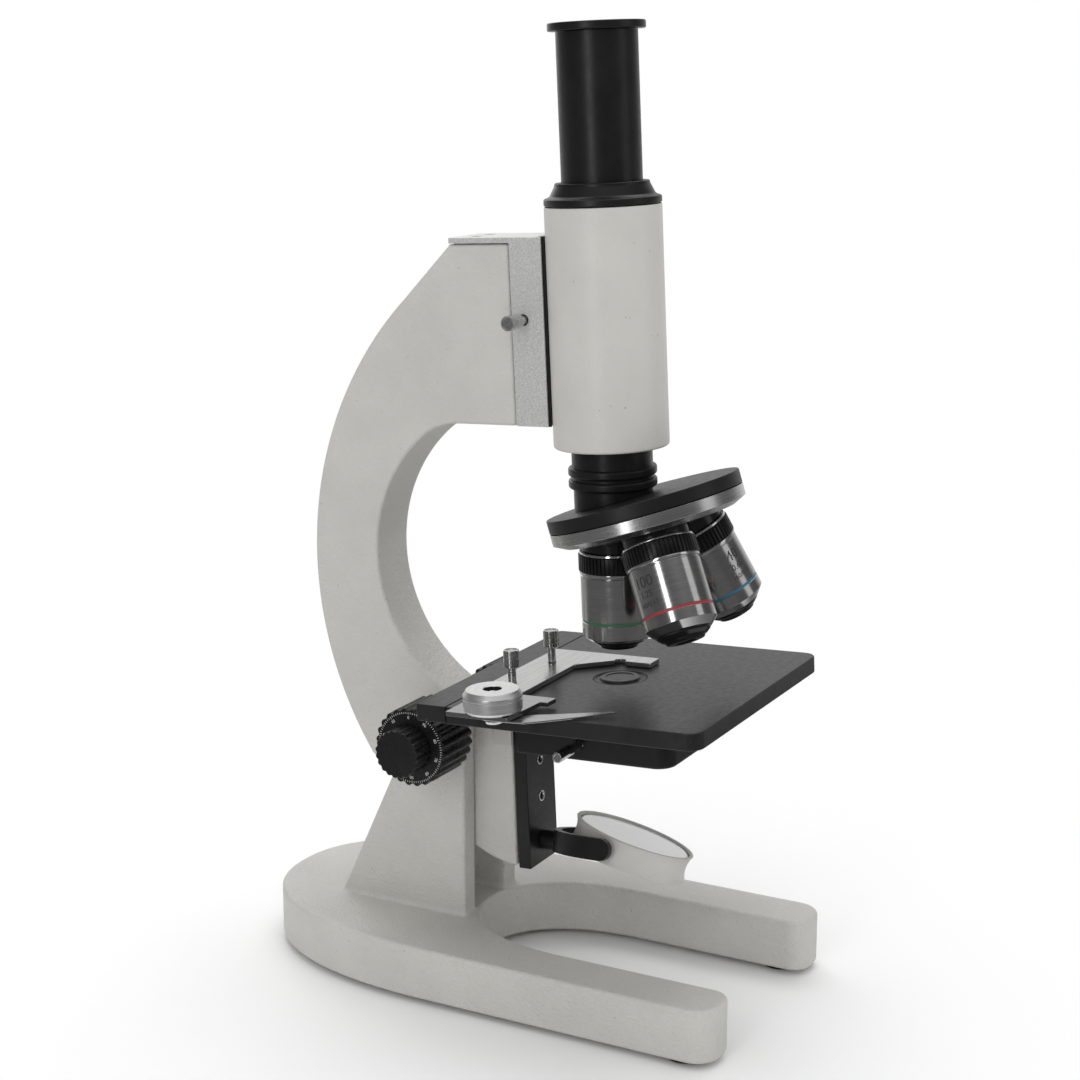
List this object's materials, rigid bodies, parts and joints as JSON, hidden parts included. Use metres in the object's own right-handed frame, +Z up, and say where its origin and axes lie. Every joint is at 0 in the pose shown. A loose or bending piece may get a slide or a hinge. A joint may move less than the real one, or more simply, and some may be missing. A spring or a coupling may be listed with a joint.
{
  "type": "microscope",
  "caption": "Student compound microscope with a vertical tube, tilting curved arm, revolving nosepiece, moving stage, two-sided focus knobs and a tilting mirror under the stage.",
  "frame": {"origin": "centre of the part's plan box, on the plane its feet stand on", "axes": "+Z up, X across the microscope, -Y is the open front of the base and the stage side, +Y the heel of the base and the back of the arm"},
  "size_m": [0.1149, 0.1836, 0.3168],
  "materials": {
    "grey_paint": "satin",
    "silver_cast": "satin",
    "black_enamel": "satin",
    "black_knob": "gloss",
    "bright_chrome": "polished",
    "brushed_metal": "satin",
    "plain_steel": "satin",
    "brass_parts": "satin",
    "clear_glass": "polished",
    "mirror_face": "polished",
    "black_rubber": "matte"
  },
  "bodies": {
    "base": {"base_casting": "grey_paint", "foot_front_left": "black_rubber", "foot_front_right": "black_rubber", "foot_rear_left": "black_rubber", "foot_rear_right": "black_rubber"},
    "arm": {"arm_casting": "grey_paint", "head_mount_block": "silver_cast", "cap_screw_left": "bright_chrome", "cap_screw_right": "bright_chrome", "dovetail_plate": "black_enamel", "body_tube": "grey_paint", "tube_collar": "black_enamel", "draw_tube": "black_enamel", "nosepiece_neck": "black_enamel", "nosepiece_cover": "black_enamel", "hinge_bush_left": "brass_parts", "hinge_bush_right": "brass_parts"},
    "coarse_drive": {"coarse_pinion_shaft": "plain_steel", "coarse_knob_left": "black_knob", "coarse_knob_right": "black_knob"},
    "fine_drive": {"fine_shaft": "plain_steel", "fine_knob_left": "black_knob", "fine_knob_right": "black_knob"},
    "idler": {"idler_gear": "brass_parts"},
    "stage": {"focus_slide": "brushed_metal", "focus_rack": "plain_steel", "slide_screw_upper": "bright_chrome", "slide_screw_lower": "bright_chrome", "stage_bracket": "black_enamel", "stage_plate": "black_enamel", "stage_rear_bar": "black_enamel", "condenser_mount": "black_enamel", "condenser_lens": "clear_glass", "slide_holder": "brushed_metal", "clip_base_plate": "brushed_metal", "mirror_post": "black_enamel"},
    "turret": {"nosepiece_turret": "brushed_metal", "turret_pivot_screw": "plain_steel", "objective_low_barrel": "brushed_metal", "objective_low_grip_ring": "black_enamel", "objective_low_nose": "brushed_metal", "objective_medium_barrel": "brushed_metal", "objective_medium_grip_ring": "black_enamel", "objective_medium_nose": "brushed_metal", "objective_high_barrel": "brushed_metal", "objective_high_grip_ring": "black_enamel", "objective_high_nose": "brushed_metal"},
    "eyepiece": {"eyepiece_shell": "black_enamel", "eye_lens": "clear_glass", "field_lens": "clear_glass"},
    "head_clamp": {"head_clamp_screw": "bright_chrome"},
    "condenser_clamp": {"condenser_clamp_screw": "bright_chrome"},
    "holder_thumbscrew_left": {"holder_screw_left": "bright_chrome"},
    "holder_thumbscrew_right": {"holder_screw_right": "bright_chrome"},
    "clip_knob": {"clip_knob": "bright_chrome", "clip_pivot_bolt": "bright_chrome"},
    "clip_finger": {"spring_finger": "brushed_metal"},
    "mirror_fork": {"mirror_fork": "black_enamel"},
    "mirror": {"mirror_cell": "grey_paint", "mirror_glass": "mirror_face"}
  },
  "joints": [
    {"name": "arm_inclination", "type": "hinge", "parent": "base", "child": "arm", "pos_m": [0.0077, 0.02136, 0.08496], "axis": [-1, 0, 0], "range_deg": [-2.8, 42]},
    {"name": "stage_focus", "type": "slide", "parent": "arm", "child": "stage", "axis": [0, 0.049, 0.9988], "range_m": [-0.0045, 0.009]},
    {"name": "coarse_focus", "type": "hinge", "parent": "arm", "child": "coarse_drive", "pos_m": [0.0077, 0.02136, 0.08496], "axis": [1, 0, 0], "range_deg": [-45, 88]},
    {"name": "idler_turn", "type": "hinge", "parent": "arm", "child": "idler", "pos_m": [0.0077, 0.0107, 0.07912], "axis": [1, 0, 0], "range_deg": [-88, 45]},
    {"name": "fine_focus", "type": "hinge", "parent": "arm", "child": "fine_drive", "pos_m": [0.0077, 0.02136, 0.08496], "axis": [1, 0, 0], "continuous": true},
    {"name": "nosepiece_turn", "type": "hinge", "parent": "arm", "child": "turret", "pos_m": [0.0077, -0.03146, 0.20626], "axis": [0, 0.308, 0.9514], "continuous": true},
    {"name": "eyepiece_lift", "type": "slide", "parent": "arm", "child": "eyepiece", "axis": [0, 0.049, 0.9988], "range_m": [0, 0.035]},
    {"name": "head_clamp_turn", "type": "hinge", "parent": "arm", "child": "head_clamp", "pos_m": [-0.0021, -0.00567, 0.22375], "axis": [-1, 0, 0], "range_deg": [0, 720]},
    {"name": "condenser_clamp_turn", "type": "hinge", "parent": "stage", "child": "condenser_clamp", "pos_m": [-0.0262, -0.03885, 0.09452], "axis": [-1, 0, 0], "range_deg": [0, 720]},
    {"name": "holder_screw_left_turn", "type": "hinge", "parent": "stage", "child": "holder_thumbscrew_left", "pos_m": [-0.0158, -0.00898, 0.10752], "axis": [0, 0.049, 0.9988], "range_deg": [0, 720]},
    {"name": "holder_screw_right_turn", "type": "hinge", "parent": "stage", "child": "holder_thumbscrew_right", "pos_m": [0.0115, -0.00898, 0.10752], "axis": [0, 0.049, 0.9988], "range_deg": [0, 720]},
    {"name": "clip_knob_turn", "type": "hinge", "parent": "stage", "child": "clip_knob", "pos_m": [-0.0482, -0.01997, 0.11402], "axis": [0, 0.049, 0.9988], "continuous": true},
    {"name": "clip_finger_swing", "type": "hinge", "parent": "stage", "child": "clip_finger", "pos_m": [-0.0482, -0.01997, 0.11402], "axis": [0, -0.049, -0.9988], "range_deg": [0, 25], "stiffness_Nm_per_rad": 0.08, "springref_deg": -5.73},
    {"name": "mirror_fork_turn", "type": "hinge", "parent": "stage", "child": "mirror_fork", "pos_m": [0.0077, -0.03927, 0.04708], "axis": [0, 0.9988, -0.049], "range_deg": [-106.8, 73.2]},
    {"name": "mirror_tilt", "type": "hinge", "parent": "mirror_fork", "child": "mirror", "pos_m": [0.00812, -0.04061, 0.04853], "axis": [0.9573, -0.0142, -0.2887], "range_deg": [-105, 75]}
  ],
  "couplings": [
    {"joint": "coarse_focus", "follows": "stage_focus", "rad_per_m": 166.67},
    {"joint": "idler_turn", "follows": "stage_focus", "rad_per_m": -166.67}
  ]
}
